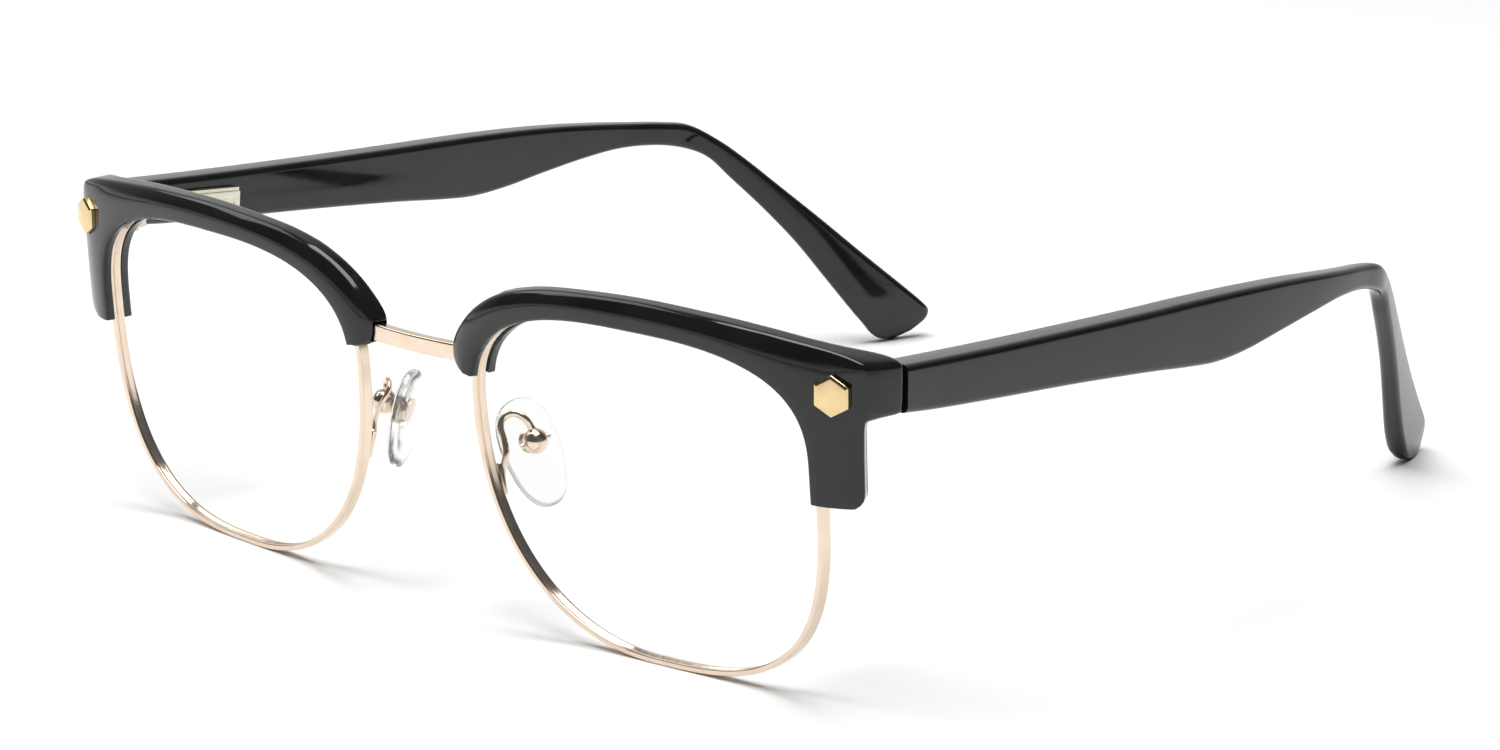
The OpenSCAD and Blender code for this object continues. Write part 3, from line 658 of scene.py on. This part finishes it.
def make_pad_arm(name, side):
    """Arm of the nose pad and its foot, soldered to the eyewire."""
    path = rows_at(ARM_PATH, np.linspace(0, len(ARM_PATH) - 1, 72)) + [0, FRONT_Y, 0]
    arm = loft("pad_arm_" + name, tube(path, ARM_WIDE, ARM_THICK, 20, [0.6, -0.8, 0]),
               side=side)
    place(arm, "pad_arm_" + name)
    foot = block("pad_foot_" + name, (-0.45, 0, -2), (0.45, 0.6, 2),
                 turned(side, (11.78, FRONT_Y + 2.42, 18.6), (0, -16, 0)), 0.22)
    foot.data.materials.append(MATERIALS["rose_metal"])
    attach(foot, "front")


def make_pad_box(name, side):
    """Round box at the arm's end, slit for the pad's lug."""
    turn = turned(side, PAD_PIN, *PAD_TURN)
    a = np.linspace(0, 2 * np.pi, 64, endpoint=False)
    rings = []
    for up in np.radians(np.linspace(-89, 89, 40)):
        r = BOX_R * math.cos(up)
        rings.append(np.stack([r * np.cos(a), r * np.sin(a), 0 * a + BOX_R * math.sin(up)], -1))
    ball = loft("pad_box_" + name, moved(rings, turn))
    slit = block("slit", (-3, -0.62, -1), (0.8, 0.62, 1), turn)
    place(cut(ball, [slit]), "pad_box_" + name)


def make_pad(name, side):
    """Soft oval pad, wider above than below."""
    a = np.linspace(0, 2 * np.pi, 120, endpoint=False)
    rings = []
    for f in np.linspace(-90, 90, 25):
        inset = 2.2 * (1 - math.cos(math.radians(f))) ** 1.6
        h, w = PAD_H / 2 - inset, PAD_W / 2 - inset
        w = w * (1 + 0.12 * np.sin(a) - 0.05 * np.cos(2 * a))
        rings.append(np.stack([0 * a + PAD_T / 2 * math.sin(math.radians(f)),
                               w * spow(np.cos(a), 0.92), h * spow(np.sin(a), 0.96)], -1))
    rings = moved(np.array(rings) + PAD_C, turned(side, PAD_PIN, *PAD_TURN))
    place(loft("nose_pad_" + name, rings), "nose_pad_" + name)


for name, side in SIDES.items():
    make_brow(name, side)
    make_stud(name, side)
    make_eyewire(name, side)
    make_lens(name, side)
    make_temple(name, side)
    make_pad_arm(name, side)
    make_pad_box(name, side)
    make_pad(name, side)
make_bridge()


# ------------------------------------------------------------------ floor, light and camera
def make_floor():
    """Plain pale floor."""
    size = 3.0
    mesh = bpy.data.meshes.new("floor")
    corners = [(-size, -size, 0), (size, -size, 0), (size, size, 0), (-size, size, 0)]
    mesh.from_pydata(corners, [], [(0, 1, 2, 3)])
    floor = bpy.data.objects.new("floor", mesh)
    bpy.context.scene.collection.objects.link(floor)
    mat, nt, bsdf = shader("floor", Roughness=0.9)
    bsdf.inputs["Specular IOR Level"].default_value = 0.0
    nt.links.new(ramp(nt, noise(nt, 4, 2), (0.89, 0.89, 0.89), (0.9, 0.9, 0.9)),
                 bsdf.inputs["Base Color"])
    mesh.materials.append(mat)


def soft_light(name, spot, target, size, power):
    """Rectangular area light at spot, aimed at target."""
    light = bpy.data.lights.new(name, "AREA")
    light.shape = "RECTANGLE"
    light.size, light.size_y = size
    light.energy = power
    obj = bpy.data.objects.new(name, light)
    obj.location = spot
    obj.rotation_euler = (Vector(target) - Vector(spot)).to_track_quat("-Z", "Y").to_euler()
    bpy.context.scene.collection.objects.link(obj)


def make_world():
    """White below the horizon and at the rear left, dark elsewhere."""
    world = bpy.data.worlds.new("studio")
    bpy.context.scene.world = world
    world.use_nodes = True
    nt = world.node_tree
    coords = nt.nodes.new("ShaderNodeTexCoord")
    split = nt.nodes.new("ShaderNodeSeparateXYZ")
    nt.links.new(coords.outputs["Generated"], split.inputs["Vector"])
    towards = nt.nodes.new("ShaderNodeMath")
    towards.operation = "SUBTRACT"
    nt.links.new(split.outputs["Y"], towards.inputs[0])
    nt.links.new(split.outputs["X"], towards.inputs[1])
    rise = nt.nodes.new("ShaderNodeMapRange")
    behind = nt.nodes.new("ShaderNodeMapRange")
    for node, value, limits in ((rise, split.outputs["Z"], (0.0, 0.1, 1, 0)),
                                (behind, towards.outputs["Value"], (0.5, 1.25, 0.06, 0.75))):
        for key, v in zip(("From Min", "From Max", "To Min", "To Max"), limits):
            node.inputs[key].default_value = v
        nt.links.new(value, node.inputs["Value"])
    total = nt.nodes.new("ShaderNodeMath")
    total.operation = "MAXIMUM"
    nt.links.new(rise.outputs["Result"], total.inputs[0])
    nt.links.new(behind.outputs["Result"], total.inputs[1])
    background = nt.nodes["Background"]
    background.inputs["Color"].default_value = (1, 1, 1, 1)
    nt.links.new(total.outputs["Value"], background.inputs["Strength"])


# how far round to the wearer's left, how high, and how tilted the camera is, in degrees
CAMERA_ANGLES = (43.53, 14.91, -0.08)
CAMERA_PLACE = (0.4702, -0.436, 0.2004)  # in metres, from the middle of the front plane
FOCAL_LENGTH = 129.98


def make_camera():
    """Camera in front of the wearer's left side, fitted to the object's own frame."""
    azimuth, elevation, roll = (math.radians(v) for v in CAMERA_ANGLES)
    back = Vector((math.sin(azimuth) * math.cos(elevation),
                   -math.cos(azimuth) * math.cos(elevation), math.sin(elevation)))
    right = Vector((math.cos(azimuth), math.sin(azimuth), 0))
    up = back.cross(right)
    across = math.cos(roll) * right + math.sin(roll) * up
    above = -math.sin(roll) * right + math.cos(roll) * up
    camera = bpy.data.cameras.new("camera")
    camera.sensor_width = 36
    camera.lens = FOCAL_LENGTH
    camera.clip_end = 20
    obj = bpy.data.objects.new("camera", camera)
    spot = Vector(CAMERA_PLACE) + Vector((0, FRONT_Y * MM, 0))
    facing = Matrix((across, above, back)).transposed().to_4x4()
    obj.matrix_world = Matrix.Translation(spot) @ facing
    bpy.context.scene.collection.objects.link(obj)
    bpy.context.scene.camera = obj


make_floor()
make_world()
soft_light("overhead", (0.0, -0.12, 1.0), (0, 0, 0), (0.85, 0.85), 13.5)
soft_light("key", (-0.85, -0.3, 0.85), (0, 0, 0), (0.6, 0.6), 2.5)
make_camera()
bpy.context.scene.view_settings.view_transform = "Standard"
